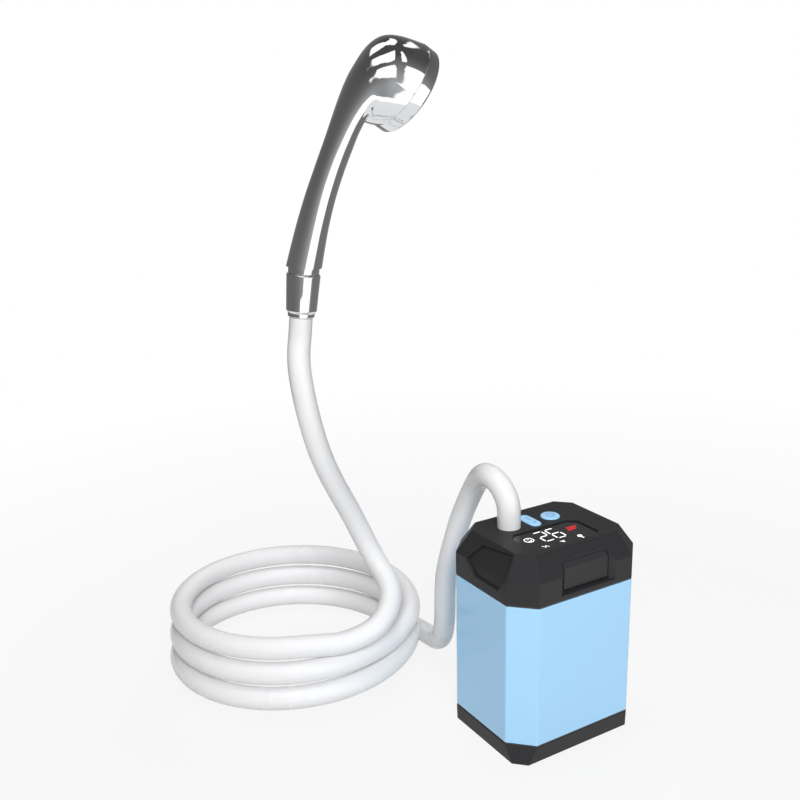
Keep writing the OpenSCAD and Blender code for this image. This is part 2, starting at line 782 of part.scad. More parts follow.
// Uniform cubic B-spline that starts and ends on its first and last points
function ends_held(p) = concat([2 * p[0] - p[1]], p, [2 * p[len(p) - 1] - p[len(p) - 2]]);
function blend_at(p, i, t) = (pow(1 - t, 3) * p[i] + (3 * pow(t, 3) - 6 * t * t + 4) * p[i + 1]
    + (-3 * pow(t, 3) + 3 * t * t + 3 * t + 1) * p[i + 2] + pow(t, 3) * p[i + 3]) / 6;
function smooth(p, steps) = let (q = ends_held(p)) concat(
    [for (i = [0:len(q) - 4], s = [0:steps - 1]) blend_at(q, i, s / steps)], [p[len(p) - 1]]);

// Tube along points, its rings set square to the path and level with a reference direction
function unit(v) = v / norm(v);
function path_dir(p, i) = unit(p[min(i + 1, len(p) - 1)] - p[max(i - 1, 0)]);
function ring_at(p, i, r, sides, ref) = let (t = path_dir(p, i), u = unit(cross(ref, t)), v = cross(t, u))
    [for (k = [0:sides - 1]) p[i] + r * (cos(360 * k / sides) * u + sin(360 * k / sides) * v)];
module tube(p, r, sides, ref) {
    n = len(p);
    points = concat([for (i = [0:n - 1]) each ring_at(p, i, r, sides, ref)], [p[0], p[n - 1]]);
    wall = [for (i = [0:n - 2], k = [0:sides - 1]) let (a = i * sides + k, b = i * sides + (k + 1) % sides)
        each [[a, a + sides, b], [b, a + sides, b + sides]]];
    foot = [for (k = [0:sides - 1]) [n * sides, k, (k + 1) % sides]];
    last = (n - 1) * sides;
    head = [for (k = [0:sides - 1]) [n * sides + 1, last + (k + 1) % sides, last + k]];
    polyhedron(points, concat(wall, foot, head));
}

module hose_arch() {
    color(white_hose) tube(smooth(arch_points, steps_per_span), hose_r, hose_sides, [1, 0, 0]);
}

module hose_coil() {
    color(white_hose) tube(coil_points, hose_r, coil_sides, [0, 0, 1]);
}

module hose_riser() {
    color(white_hose) tube(smooth(riser_points, steps_per_span), hose_r, hose_sides, [0.4, 0.9, 0]);
}

// Least gap between the coil's loops, measured between points half a loop or more apart
coil_gap = min([for (i = [0:len(coil_points) - 1], j = [0:len(coil_points) - 1])
    if (j > i + loop_rings / 2) norm(coil_points[i] - coil_points[j])]) - hose_d;
echo(coil_gap = coil_gap);

// Place of the handset: up along the hose end, with the head turned about it
module at_hose_end() {
    translate(hose_end) rotate([0, hose_end_lean, lean_dir]) rotate([0, 0, head_turn]) children();
}

// Place of the face: on the shell's last section, looking out of the face
module at_face() {
    last = shell_sections[8];
    at_hose_end() translate([last[0], 0, last[1]]) rotate([0, head_tilt, 0])
        translate([0, 0, ring_w]) children();
}

module hose_tail() {
    color("silver") at_hose_end() difference() {
        union() {
            cylinder(d = hose_d, h = tail_flange_z + tail_flange_t);
            translate([0, 0, tail_flange_z]) cylinder(d = tail_flange_d, h = tail_flange_t);
        }
        translate([0, 0, -past]) cylinder(d = water_bore, h = nut_h);
    }
}

// Conical nut that turns on the flanged tail
module swivel_nut() {
    bore_r = hose_d / 2 + running;
    pocket_r = tail_flange_d / 2 + free;
    z_pocket = tail_flange_z - free;
    color(chrome) at_hose_end() rotate_extrude()
        polygon([[bore_r, 0], [nut_lip_d / 2, 0], [nut_lip_d / 2, nut_lip_h],
            [nut_foot_d / 2, nut_lip_h + 1.2], [nut_top_d / 2, nut_h - 1], [nut_top_d / 2 - 0.6, nut_h],
            [thread_d / 2 + seat, nut_h], [thread_d / 2 + seat, z_nipple], [pocket_r, z_nipple],
            [pocket_r, z_pocket], [bore_r, z_pocket]]);
}

module nut_washer() {
    color("dimgray") at_hose_end() translate([0, 0, z_nipple - washer_t + free]) difference() {
        cylinder(d = tail_flange_d - 2 * free, h = washer_t - free);
        translate([0, 0, -past]) cylinder(d = water_bore, h = washer_t + 2 * past);
    }
}

// Threaded stub that joins the nut to the handle
module inlet_nipple() {
    grip_d = 2 * (shell_sections[0][3] - shell_wall - foot_wall - 2 * free);
    color(chrome) at_hose_end() difference() {
        union() {
            translate([0, 0, z_nipple]) cylinder(d = thread_d, h = z_handle - z_nipple);
            translate([0, 0, nut_h + seat]) cylinder(d = neck_d, h = z_handle - nut_h - seat);
            translate([0, 0, z_handle]) cylinder(d = grip_d, h = nipple_grip);
        }
        translate([0, 0, z_nipple - past]) cylinder(d = nipple_bore, h = z_handle + nipple_grip);
    }
}

// Points of one section of the shell, its half axes less t
function section_ring(s, t) = [for (k = [0:shell_sides - 1])
    let (a = 360 * k / shell_sides, u = (s[3] - t) * cos(a), v = (s[4] - t) * sin(a))
    [s[0] + u * cos(s[2]), v, s[1] - u * sin(s[2])]];
// Section between two listed ones, on a curve through all of them
function section_at(i, t) = let (n = len(shell_sections) - 1, p = shell_sections,
    a = p[max(i - 1, 0)], b = p[i], c = p[min(i + 1, n)], d = p[min(i + 2, n)])
    (2 * b + t * (c - a) + t * t * (2 * a - 5 * b + 4 * c - d) + pow(t, 3) * (3 * b - a - 3 * c + d)) / 2;
function shell_run(steps) = concat(
    [for (i = [0:len(shell_sections) - 2], s = [0:steps - 1]) section_at(i, s / steps)],
    [shell_sections[len(shell_sections) - 1]]);

// Handle and head, one hollow moulding: the outer sections go up and the inner ones come back
module handset_shell() {
    outer = shell_run(shell_steps);
    inner = shell_run(3);
    rings = concat([for (s = outer) section_ring(s, 0)],
        [for (i = [len(inner) - 1:-1:0]) section_ring(inner[i], shell_wall + (i == 0 ? foot_wall : 0))]);
    n = len(rings);
    walls = [for (i = [0:n - 1], k = [0:shell_sides - 1]) let (a = i * shell_sides + k,
        b = i * shell_sides + (k + 1) % shell_sides, up = ((i + 1) % n) * shell_sides,
        c = up + k, d = up + (k + 1) % shell_sides) each [[a, c, b], [b, c, d]]];
    color(chrome) at_hose_end() polyhedron([for (r = rings) each r], walls);
}

module face_ring() {
    inner_r = face_r - ring_wall;
    color(chrome) at_face() rotate_extrude()
        polygon([[inner_r, -ring_w], [face_r, -ring_w], [face_r, -ring_bevel], [face_r - ring_bevel, 0],
            [inner_r - lip_reach, 0], [inner_r - lip_reach, -lip_in], [inner_r, -lip_in]]);
}

// Copies at the nozzles: one in the middle and rings of six, twelve and so on around it
module at_nozzles() {
    children();
    for (ring = [1:nozzle_rings], i = [0:6 * ring - 1]) rotate([0, 0, i * 60 / ring])
        translate([ring * nozzle_pitch, 0, 0]) children();
}

module spray_plate() {
    color([0.8, 0.8, 0.82]) at_face() translate([0, 0, -lip_in - plate_t]) difference() {
        cylinder(r = face_r - ring_wall - seat, h = plate_t);
        at_nozzles() translate([0, 0, -past]) cylinder(d = nozzle_hole_d, h = plate_t + 2 * past);
    }
}

module nozzle_mat() {
    mat_r = face_r - ring_wall - 2 * seat;
    color([0.55, 0.57, 0.6]) at_face() translate([0, 0, -lip_in - plate_t - mat_t]) difference() {
        union() {
            cylinder(r = mat_r, h = mat_t);
            translate([0, 0, -mat_rim_h]) cylinder(r = mat_r, h = mat_rim_h);
            at_nozzles() cylinder(d = nozzle_d, h = mat_t + plate_t + nozzle_out);
        }
        translate([0, 0, -mat_rim_h - past]) cylinder(r = mat_r - mat_rim_w, h = mat_rim_h + past);
    }
}

module diffuser_disc() {
    z_back = -lip_in - plate_t - mat_t - mat_rim_h - diffuser_t;
    color("white") at_face() translate([0, 0, z_back]) difference() {
        cylinder(r = face_r - ring_wall - 2 * seat, h = diffuser_t);
        for (i = [0:7]) rotate([0, 0, 45 * i]) translate([face_r / 2, 0, -past])
            cylinder(d = 6, h = diffuser_t + 2 * past);
    }
}

base_cover();
intake_screen();
base_gasket();
body_sleeve();
cap_gasket();
top_cap();
display_lens();
power_button();
mode_button();
charge_flap();
flap_pin();
outlet_spigot();
base_screws();
bulkhead();
volute();
impeller();
rotor_shaft();
shaft_seal();
motor();
motor_clamp();
clamp_screws();
delivery_tube();
battery_tray();
battery_cells();
control_board();
board_screws();
display_module();
usb_socket();
key_switches();
hose_arch();
hose_coil();
hose_riser();
hose_tail();
swivel_nut();
nut_washer();
inlet_nipple();
handset_shell();
diffuser_disc();
nozzle_mat();
spray_plate();
face_ring();
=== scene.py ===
# %% [markdown]
# # A rechargeable portable shower
# A battery pump stands on the floor, a white hose leaves its cap, lies in a coil and rises to a chrome
# handset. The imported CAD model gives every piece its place. This lesson dresses it: soft edges on the
# mouldings, a smooth hose, a polished handset and a finish for each material.

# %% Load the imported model
import math

import bmesh
import bpy
from mathutils import Matrix, Vector


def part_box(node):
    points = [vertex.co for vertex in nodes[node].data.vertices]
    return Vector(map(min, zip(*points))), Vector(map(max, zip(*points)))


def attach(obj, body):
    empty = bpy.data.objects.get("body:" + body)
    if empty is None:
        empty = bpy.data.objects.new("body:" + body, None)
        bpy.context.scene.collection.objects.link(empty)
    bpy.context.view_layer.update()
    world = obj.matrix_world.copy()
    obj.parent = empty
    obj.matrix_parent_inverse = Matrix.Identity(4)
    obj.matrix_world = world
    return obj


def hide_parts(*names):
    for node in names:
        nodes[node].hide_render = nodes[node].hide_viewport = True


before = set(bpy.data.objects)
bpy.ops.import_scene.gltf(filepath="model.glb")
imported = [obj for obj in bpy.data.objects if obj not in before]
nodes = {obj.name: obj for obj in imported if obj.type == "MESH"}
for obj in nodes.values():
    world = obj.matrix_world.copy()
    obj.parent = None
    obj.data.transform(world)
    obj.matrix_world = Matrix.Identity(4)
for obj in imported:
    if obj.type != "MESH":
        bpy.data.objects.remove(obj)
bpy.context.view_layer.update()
MM = 0.001
print("loaded", len(nodes), "CAD nodes")


# %% [markdown]
# ## Camera
# The photograph was matched to the pump's edges: the camera looks down at about 16 degrees from the front
# left, rolled by a little over one degree. A matrix of its three axes places it with no constraint.

# %% Camera
def put(name, data):
    obj = bpy.data.objects.new(name, data)
    bpy.context.scene.collection.objects.link(obj)
    return obj


LENS_PX = 1007
IMAGE_PX = 800
CAMERA_MM = Vector((-406.4, -490.2, 410.9))
HEADING, DIP, ROLL = (math.radians(a) for a in (31.0, 15.7, -1.33))
forward = Vector((math.sin(HEADING) * math.cos(DIP), math.cos(HEADING) * math.cos(DIP), -math.sin(DIP)))
level = Vector((math.cos(HEADING), -math.sin(HEADING), 0))
upward = level.cross(forward)
right = math.cos(ROLL) * level + math.sin(ROLL) * upward
top = math.cos(ROLL) * upward - math.sin(ROLL) * level
camera = put("camera", bpy.data.cameras.new("camera"))
camera.data.sensor_width = 36
camera.data.lens = LENS_PX * camera.data.sensor_width / IMAGE_PX
camera.data.clip_start = 0.01
camera.matrix_world = (Matrix.Translation(CAMERA_MM * MM)
                       @ Matrix((right, top, -forward)).transposed().to_4x4())
bpy.context.scene.camera = camera
print("camera lens", round(camera.data.lens, 2), "mm")


# %% [markdown]
# ## Colours and nodes
# Colours are written as sRGB hex values, as a colour picker shows them, and turned to linear light once.
# One small function adds any node with its settings and links, so that each material reads as a list.

# %% Colour and node helpers
def colour(hex_value):
    parts = [int(hex_value[i:i + 2], 16) / 255 for i in (0, 2, 4)]
    linear = [p / 12.92 if p <= 0.04045 else ((p + 0.055) / 1.055) ** 2.4 for p in parts]
    return (*linear, 1.0)


def add(tree, kind, inputs=(), **settings):
    node = tree.nodes.new(kind)
    for name, value in settings.items():
        setattr(node, name, value)
    for socket, value in dict(inputs).items():
        if isinstance(value, bpy.types.NodeSocket):
            tree.links.new(value, node.inputs[socket])
        else:
            node.inputs[socket].default_value = value
    return node


def new_material(name):
    material = bpy.data.materials.new(name)
    material.use_nodes = True
    tree = material.node_tree
    shader = tree.nodes["Principled BSDF"]
    return material, tree, shader


print("grey 808080 is", round(colour("808080")[0], 3), "in linear light")


# %% [markdown]
# ## Grained plastic
# The cap, base and flap are dark ABS from a spark-eroded tool, which leaves a fine even grain, so they
# stay satin. Noise could be painted on as colour, but the real grain is relief, so it goes into a bump.
# It is near 0.1 mm on the object and drawn at 0.5 mm here, because finer grain does not show in the
# render.

# %% Dark grained ABS
PLASTIC_IOR, CLOUD_MM, GRAIN_DEPTH_MM = 1.53, 30, 0.1


def grained_abs(name, hex_value, grain_mm, roughness):
    material, tree, shader = new_material(name)
    place = add(tree, "ShaderNodeTexCoord")
    grain = add(tree, "ShaderNodeTexNoise", {"Vector": place.outputs["Object"], "Scale": 1 / (grain_mm * MM),
                                             "Detail": 2.0, "Roughness": 0.6})
    cloud = add(tree, "ShaderNodeTexNoise", {"Vector": place.outputs["Object"], "Scale": 1 / (CLOUD_MM * MM),
                                             "Detail": 3.0})
    gloss = add(tree, "ShaderNodeMapRange", {"Value": cloud.outputs["Fac"], "From Min": 0.3, "From Max": 0.7,
                                             "To Min": roughness - 0.05, "To Max": roughness + 0.06})
    bump = add(tree, "ShaderNodeBump", {"Height": grain.outputs["Fac"], "Strength": 0.12,
                                        "Distance": GRAIN_DEPTH_MM * MM})
    shader.inputs["Base Color"].default_value = colour(hex_value)
    shader.inputs["IOR"].default_value = PLASTIC_IOR
    shader.inputs["Specular IOR Level"].default_value = 0.3
    tree.links.new(gloss.outputs["Result"], shader.inputs["Roughness"])
    tree.links.new(bump.outputs["Normal"], shader.inputs["Normal"])
    return material


dark_abs = grained_abs("moulded_dark_abs", "272729", 0.5, 0.5)
flap_abs = grained_abs("moulded_flap_abs", "2B2B2D", 0.5, 0.46)
inner_abs = grained_abs("moulded_inner_abs", "55565A", 0.7, 0.6)
print("made", dark_abs.name, flap_abs.name, inner_abs.name)


# %% [markdown]
# ## Gloss plastic
# The sleeve and the buttons come from a polished tool. Flat gloss would look like painted glass, so a
# slow wave bends the reflections a little, as orange peel does, and a haze varies the roughness.

# %% Gloss blue ABS
HAZE_MM, PEEL_DEPTH_MM = 40, 0.2


def gloss_abs(name, hex_value, roughness, wave_mm=9.0):
    material, tree, shader = new_material(name)
    place = add(tree, "ShaderNodeTexCoord")
    peel = add(tree, "ShaderNodeTexNoise", {"Vector": place.outputs["Object"], "Scale": 1 / (wave_mm * MM),
                                            "Detail": 1.0})
    haze = add(tree, "ShaderNodeTexNoise", {"Vector": place.outputs["Object"], "Scale": 1 / (HAZE_MM * MM),
                                            "Detail": 4.0})
    gloss = add(tree, "ShaderNodeMapRange", {"Value": haze.outputs["Fac"], "From Min": 0.35, "From Max": 0.7,
                                             "To Min": roughness, "To Max": roughness + 0.07})
    bump = add(tree, "ShaderNodeBump", {"Height": peel.outputs["Fac"], "Strength": 0.05,
                                        "Distance": PEEL_DEPTH_MM * MM})
    shader.inputs["Base Color"].default_value = colour(hex_value)
    shader.inputs["IOR"].default_value = PLASTIC_IOR
    tree.links.new(gloss.outputs["Result"], shader.inputs["Roughness"])
    tree.links.new(bump.outputs["Normal"], shader.inputs["Normal"])
    return material


blue_abs = gloss_abs("gloss_blue_abs", "A8DAFE", 0.05)
print("made", blue_abs.name)


# %% [markdown]
# ## Metal and light
# Chrome plating is a mirror whose only texture is a breath of haze, and a turned screw is a duller metal,
# so one function makes both. A sign on the display is lit from below, a little unevenly. A plain glow
# would look painted on, so its strength follows a soft noise while its colour stays the same.

# %% Chrome and lit signs
PLATE_HAZE_MM, GLOW_MM = 25, 4


def chrome_plate(name, hex_value, roughness):
    material, tree, shader = new_material(name)
    place = add(tree, "ShaderNodeTexCoord")
    haze = add(tree, "ShaderNodeTexNoise", {"Vector": place.outputs["Object"],
                                            "Scale": 1 / (PLATE_HAZE_MM * MM), "Detail": 5.0})
    gloss = add(tree, "ShaderNodeMapRange", {"Value": haze.outputs["Fac"], "From Min": 0.35, "From Max": 0.75,
                                             "To Min": roughness, "To Max": roughness + 0.04})
    shader.inputs["Base Color"].default_value = colour(hex_value)
    shader.inputs["Metallic"].default_value = 1.0
    tree.links.new(gloss.outputs["Result"], shader.inputs["Roughness"])
    return material


def lit_sign(name, hex_value, strength):
    material, tree, shader = new_material(name)
    place = add(tree, "ShaderNodeTexCoord")
    glow = add(tree, "ShaderNodeTexNoise", {"Vector": place.outputs["Object"], "Scale": 1 / (GLOW_MM * MM),
                                            "Detail": 1.0})
    uneven = add(tree, "ShaderNodeMapRange", {"Value": glow.outputs["Fac"], "From Min": 0.3, "From Max": 0.7,
                                              "To Min": 0.8 * strength, "To Max": 1.1 * strength})
    shader.inputs["Base Color"].default_value = colour(hex_value)
    shader.inputs["Emission Color"].default_value = colour(hex_value)
    shader.inputs["Roughness"].default_value = 0.3
    tree.links.new(uneven.outputs["Result"], shader.inputs["Emission Strength"])
    return material


chrome = chrome_plate("chrome_plated_abs", "E2E3E5", 0.02)
steel = chrome_plate("turned_steel", "9A9CA0", 0.3)
white_sign = lit_sign("white_display_sign", "FFFFFF", 0.9)
red_sign = lit_sign("red_display_sign", "B8141E", 0.22)
print("made", chrome.name, steel.name, white_sign.name, red_sign.name)


# %% [markdown]
# ## Hose, seals and small materials
# The hose is glossy white PVC, the display black acrylic, the spray plate silver and the cells shrink
# wrapped. Each could have a shader of its own, but all are gloss plastic in another colour, the hose with
# a longer wave. Seals, nozzles, the board and the ink on the buttons are dull, so they use the grained
# kind. Their grain is drawn at 0.3 to 1 mm, coarser than life, so that it shows in the render.

# %% PVC, acrylic, rubber, board, cell wrap and ink
hose_pvc = gloss_abs("white_pvc_hose", "EDEDEE", 0.22, wave_mm=14.0)
silicone = grained_abs("grey_silicone", "8E949B", 0.6, 0.55)
gloss_abs("black_acrylic", "1B1B1D", 0.12)
gloss_abs("silver_spray_face", "BFC1C4", 0.25)
gloss_abs("cell_wrap", "2E7D57", 0.3)
grained_abs("seal_rubber", "2A2A2B", 0.4, 0.7)
grained_abs("solder_mask", "1E5A36", 1.0, 0.45)
button_ink = grained_abs("pad_printed_ink", "6C93D8", 0.3, 0.4)
print("made", len(bpy.data.materials), "materials so far")


# %% [markdown]
# ## Finish for every CAD node
# Each CAD node gets the material of the real piece. It could be set node by node, but a list from
# material to nodes reads like a parts list. Pieces that are remade below replace their node, and the node
# still carries its finish.

# %% Materials on the CAD nodes
finish = {
    "moulded_dark_abs": ["base_cover", "top_cap"],
    "moulded_flap_abs": ["charge_flap"],
    "moulded_inner_abs": ["outlet_spigot", "bulkhead", "volute", "impeller", "motor_clamp", "delivery_tube",
                          "battery_tray", "key_switches", "diffuser_disc"],
    "gloss_blue_abs": ["body_sleeve", "power_button", "mode_button"],
    "chrome_plated_abs": ["swivel_nut", "inlet_nipple", "handset_shell", "face_ring"],
    "turned_steel": ["intake_screen", "flap_pin", "base_screws", "rotor_shaft", "motor", "clamp_screws",
                     "board_screws", "usb_socket", "hose_tail"],
    "white_pvc_hose": ["hose_arch", "hose_coil", "hose_riser"],
    "black_acrylic": ["display_lens", "display_module"],
    "seal_rubber": ["base_gasket", "cap_gasket", "shaft_seal", "nut_washer"],
    "grey_silicone": ["nozzle_mat"],
    "silver_spray_face": ["spray_plate"],
    "solder_mask": ["control_board"],
    "cell_wrap": ["battery_cells"],
}
for material_name, names in finish.items():
    for name in names:
        nodes[name].data.materials.clear()
        nodes[name].data.materials.append(bpy.data.materials[material_name])
print("finished", sum(len(v) for v in finish.values()), "nodes")


# %% [markdown]
# ## The hose's coil
# The hose is one length of about two metres: it arches out of the cap to the floor, lies in a coil and
# rises to the handset. The coil could be placed by eye, but a helix follows from an angle: it climbs by a
# little more than the hose's thickness on each turn and drifts sideways, as a hose laid down by hand
# does.

# %% Coil of the hose
HOSE_D = 16.0
COIL_AT, COIL_R, COIL_STEP = Vector((-113, 165, 8.2)), 89.5, Vector((2.5, 3.6, 17.2))
COIL_START, COIL_END, COIL_FINE = 15, 965, 4


def coil_rim(degrees):
    a = math.radians(degrees)
    loops = (degrees - COIL_START) / 360
    return COIL_AT + COIL_STEP * loops + Vector((COIL_R * math.cos(a), COIL_R * math.sin(a), 0))


def coil_dir(degrees):
    a = math.radians(degrees)
    return Vector((-math.sin(a), math.cos(a), 0))


coil_angles = [*range(COIL_START, COIL_END, COIL_FINE), COIL_END]
coil_line = [coil_rim(a) for a in coil_angles]
coil_in = coil_rim(COIL_START) - HOSE_D * coil_dir(COIL_START)
coil_out = coil_rim(COIL_END) + HOSE_D * coil_dir(COIL_END)
print("coil has", round((COIL_END - COIL_START) / 360, 2), "turns")


# %% [markdown]
# ## The hose's free stretches
# The arch and the riser follow points, the same ones that the solids follow. Straight lines through them
# would kink and a curve through every point can swing out, so a B-spline is drawn near them. Three points
# in line at each end make the hose leave its outlet, meet the coil and enter its nut straight.

# %% Arch and riser of the hose
OUTLET_TOP = Vector((-20, 14, 143))
HOSE_END, LEAN, LEAN_DIR = Vector((-113, 127, 281)), math.radians(6), math.radians(-31)
LEAD, SPAN_STEPS = 8.0, 10


def smooth(points, steps):
    held = [2 * points[0] - points[1], *points, 2 * points[-1] - points[-2]]
    line = []
    for a, b, c, d in zip(held, held[1:], held[2:], held[3:]):
        for s in range(steps):
            t = s / steps
            line.append((a * (1 - t) ** 3 + b * (3 * t ** 3 - 6 * t * t + 4)
                         + c * (-3 * t ** 3 + 3 * t * t + 3 * t + 1) + d * t ** 3) / 6)
    return [*line, points[-1]]


def led(point, direction):
    return [point, point + LEAD * direction, point + 2 * LEAD * direction]


end_dir = Vector((math.sin(LEAN) * math.cos(LEAN_DIR), math.sin(LEAN) * math.sin(LEAN_DIR), math.cos(LEAN)))
arch_points = [(-21, 21, 171), (-21.5, 39.5, 176), (-12.5, 62, 159.5), (-15, 79, 126.5), (-17.5, 84, 106),
               (-25.5, 85.5, 79.5), (-26.5, 82.5, 50), (-22.5, 93.5, 17.5), (-16.5, 124.5, 12)]
arch_route = [*led(OUTLET_TOP, Vector((0, 0, 1))), *map(Vector, arch_points),
              *reversed(led(coil_in, -coil_dir(COIL_START)))]
riser_shares = [(-87, 73, 0.2135), (-65, 90, 0.274), (-67, 118, 0.324), (-82, 123, 0.47), (-109, 116, 0.63),
                (-120, 117, 0.822), (-118, 125, 0.9)]
riser_route = [*led(coil_out, coil_dir(COIL_END)),
               *[Vector((x, y, share * HOSE_END.z)) for x, y, share in riser_shares],
               *reversed(led(HOSE_END, -end_dir))]
route_mm = smooth(arch_route, SPAN_STEPS) + coil_line + smooth(riser_route, SPAN_STEPS)
hose_line = [p * MM for p in route_mm]


# %% [markdown]
# ## Geometry Nodes in small steps
# A hose follows a path and nozzles repeat, so both are grown by Geometry Nodes. Three helpers make that
# short: one starts a group with named inputs, one runs it and keeps the result as a plain mesh, and one
# turns points into a path.

# %% Geometry Nodes helpers
def node_group(name, inputs):
    group = bpy.data.node_groups.new(name, "GeometryNodeTree")
    group.interface.new_socket("Geometry", in_out="INPUT", socket_type="NodeSocketGeometry")
    group.interface.new_socket("Geometry", in_out="OUTPUT", socket_type="NodeSocketGeometry")
    for label, kind in inputs.items():
        group.interface.new_socket(label, in_out="INPUT", socket_type=kind)
    return group, group.nodes.new("NodeGroupInput"), group.nodes.new("NodeGroupOutput")


def grow(source, group, values, name):
    modifier = source.modifiers.new("grow", "NODES")
    modifier.node_group = group
    for item in group.interface.items_tree:
        if item.item_type == "SOCKET" and item.in_out == "INPUT" and item.name in values:
            modifier[item.identifier] = values[item.name]
    bpy.context.scene.collection.objects.link(source)
    bpy.context.view_layer.update()
    mesh = bpy.data.meshes.new_from_object(source.evaluated_get(bpy.context.evaluated_depsgraph_get()))
    bpy.data.objects.remove(source)
    return put(name, mesh)


def path_curve(name, points):
    data = bpy.data.curves.new(name, "CURVE")
    data.dimensions = "3D"
    spline = data.splines.new("POLY")
    spline.points.add(len(points) - 1)
    for point, place in zip(spline.points, points):
        point.co = (*place, 1)
    return bpy.data.objects.new(name, data)


hose_path = path_curve("hose_path", hose_line)
print("hose path has", len(hose_line), "points")


# %% [markdown]
# ## The hose's tube
# The hose is an extruded tube. A circle swept along the line gives it, with the radius as a named input.
# A bevelled curve would look the same, but the node group keeps its inputs open to a reader.

# %% Sweep the hose
HOSE_SIDES = 40
sweep, given, made = node_group("Sweep a round hose", {"Radius": "NodeSocketFloat",
                                                       "Material": "NodeSocketMaterial"})
ring = add(sweep, "GeometryNodeCurvePrimitiveCircle", {"Resolution": HOSE_SIDES,
                                                       "Radius": given.outputs["Radius"]})
tube = add(sweep, "GeometryNodeCurveToMesh", {"Curve": given.outputs["Geometry"],
                                              "Profile Curve": ring.outputs["Curve"], "Fill Caps": True})
shade = add(sweep, "GeometryNodeSetShadeSmooth", {"Geometry": tube.outputs["Mesh"]})
real = add(sweep, "GeometryNodeRealizeInstances", {"Geometry": shade.outputs["Geometry"]})
paint = add(sweep, "GeometryNodeSetMaterial", {"Geometry": real.outputs["Geometry"],
                                               "Material": given.outputs["Material"]})
sweep.links.new(paint.outputs["Geometry"], made.inputs["Geometry"])
hose = grow(hose_path, sweep, {"Radius": HOSE_D / 2 * MM, "Material": hose_pvc}, "white_hose")
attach(hose, "pump")
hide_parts("hose_arch", "hose_coil", "hose_riser")
print("hose has", len(hose.data.polygons), "faces")


# %% [markdown]
# ## Long edges of the mouldings
# A moulded edge is never knife sharp: it carries a small radius that catches the light. A bevel on every
# edge would also eat the small holes. So a copy of the CAD mesh is merged, its flat faces are made whole
# again, and only its long outer edges get a bevel weight.

# %% Bevel weight on the long outer edges
MERGE_MM, BUSY_MM = 0.001, 1.2
FLAT_ANGLE, EDGE_ANGLE = math.radians(0.4), math.radians(12)


def outer_edges(bm, shortest_mm):
    busy = {v for edge in bm.edges if edge.calc_length() < BUSY_MM * MM for v in edge.verts}
    for edge in bm.edges:
        if len(edge.link_faces) != 2 or edge.calc_length() < shortest_mm * MM:
            continue
        if not busy.intersection(edge.verts) and edge.calc_face_angle_signed() > EDGE_ANGLE:
            yield edge


def weighted_copy(source, name, shortest_mm):
    bm = bmesh.new()
    bm.from_mesh(source.data)
    bmesh.ops.remove_doubles(bm, verts=bm.verts, dist=MERGE_MM * MM)
    bmesh.ops.dissolve_limit(bm, angle_limit=FLAT_ANGLE, verts=bm.verts, edges=bm.edges)
    weight = bm.edges.layers.float.new("bevel_weight_edge")
    chosen = list(outer_edges(bm, shortest_mm))
    for edge in chosen:
        edge[weight] = 1.0
    print(name, len(chosen), "edges to soften")
    mesh = bpy.data.meshes.new(name)
    bm.to_mesh(mesh)
    bm.free()
    mesh.materials.append(source.data.materials[0])
    return mesh


print("edges that turn by more than", round(math.degrees(EDGE_ANGLE)), "degrees are softened")


# %% [markdown]
# ## Soft edges
# The radius is a bevel of a few segments. Smooth shading alone would make the wide faces look swollen
# beside it, so weighted normals keep them flat. Both are baked, and plain meshes without modifiers are
# left.

# %% Soften sleeve, cap, base and flap
BEVEL_SEGMENTS, SHARP_ANGLE = 4, math.radians(30)


def baked(piece):
    bpy.context.view_layer.update()
    mesh = bpy.data.meshes.new_from_object(piece.evaluated_get(bpy.context.evaluated_depsgraph_get()))
    piece.modifiers.clear()
    return mesh


def soften(node, name, body, width_mm, shortest_mm):
    piece = put(name, weighted_copy(nodes[node], name, shortest_mm))
    bevel = piece.modifiers.new("edge radius", "BEVEL")
    bevel.limit_method = "WEIGHT"
    bevel.width = width_mm * MM
    bevel.segments = BEVEL_SEGMENTS
    bevel.use_clamp_overlap = False
    piece.data = baked(piece)
    piece.data.shade_smooth()
    piece.data.set_sharp_from_angle(angle=SHARP_ANGLE)
    flat = piece.modifiers.new("flat faces", "WEIGHTED_NORMAL")
    flat.keep_sharp = True
    flat.weight = 100
    piece.data = baked(piece)
    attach(piece, body)
    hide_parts(node)
    print(name, len(piece.data.polygons), "faces")


soften("body_sleeve", "blue_sleeve", "pump", 0.9, 6)
soften("top_cap", "dark_cap", "pump", 0.45, 4.5)
soften("base_cover", "dark_base", "pump", 0.4, 6)
soften("charge_flap", "port_flap", "flap", 0.3, 2.0)


# %% [markdown]
# ## A skin from rings
# Buttons, handset, nut and face ring are rows of points that follow each other. One function joins such
# rings to a closed skin: the last ring meets the first one, or both ends get a lid. A screw modifier
# would turn some of them, but one plain function does all.

# %% Skin from rings
RING_SHARP_ANGLE = math.radians(35)


def band(low, high, count):
    sides = [(k, (k + 1) % count) for k in range(count)]
    return [(low + k, low + on, high + on, high + k) for k, on in sides]


def ring_mesh(name, rings, material, wrap=True):
    count = len(rings[0])
    starts = [i * count for i in range(len(rings))]
    ends = [*starts[1:], 0] if wrap else starts[1:]
    faces = [face for low, high in zip(starts, ends) for face in band(low, high, count)]
    if not wrap:
        faces += [tuple(range(count))[::-1], tuple(range(starts[-1], starts[-1] + count))]
    mesh = bpy.data.meshes.new(name)
    mesh.from_pydata([tuple(p) for ring_points in rings for p in ring_points], [], faces)
    bm = bmesh.new()
    bm.from_mesh(mesh)
    bmesh.ops.recalc_face_normals(bm, faces=bm.faces)
    bm.to_mesh(mesh)
    bm.free()
    mesh.materials.append(material)
    mesh.shade_smooth()
    mesh.set_sharp_from_angle(angle=RING_SHARP_ANGLE)
    return put(name, mesh)


print("a band of four sides:", band(0, 4, 4))


